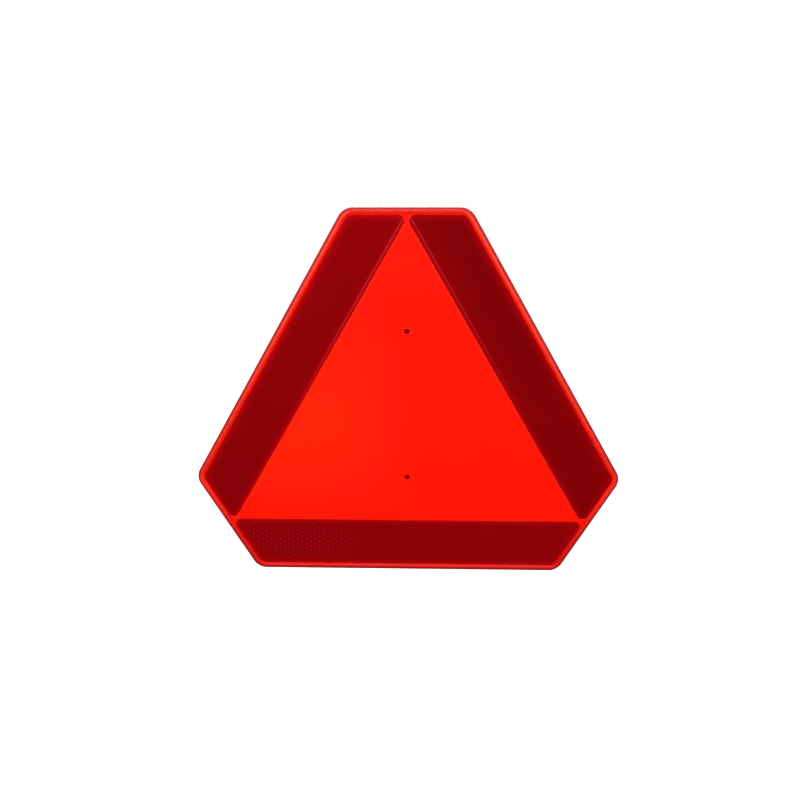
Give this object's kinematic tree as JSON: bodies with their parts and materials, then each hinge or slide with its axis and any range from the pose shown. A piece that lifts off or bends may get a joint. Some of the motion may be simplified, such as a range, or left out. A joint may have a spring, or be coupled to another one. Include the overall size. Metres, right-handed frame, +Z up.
{
  "type": "slow-vehicle rear warning triangle sign",
  "caption": "Truncated-triangle warning sign plate in fluorescent red plastic with a rolled rim and prismatic reflector strips along its sides, bolted on through its middle.",
  "frame": {"origin": "middle of the pair of fixing holes, on the rear mounting plane", "axes": "+Z up the sign through both fixing holes, +X to the right as seen from the front, the face looks along -Y and the mounting plane faces +Y"},
  "size_m": [0.4222, 0.0099, 0.37],
  "materials": {
    "fluorescent_plastic": "satin moulded fluorescent red-orange",
    "reflector_plastic": "polished clear dark red over cube-corner prisms"
  },
  "bodies": {
    "root": {"sign_plate": "fluorescent_plastic", "left_reflector": "reflector_plastic", "right_reflector": "reflector_plastic", "bottom_reflector": "reflector_plastic"}
  },
  "joints": []
}
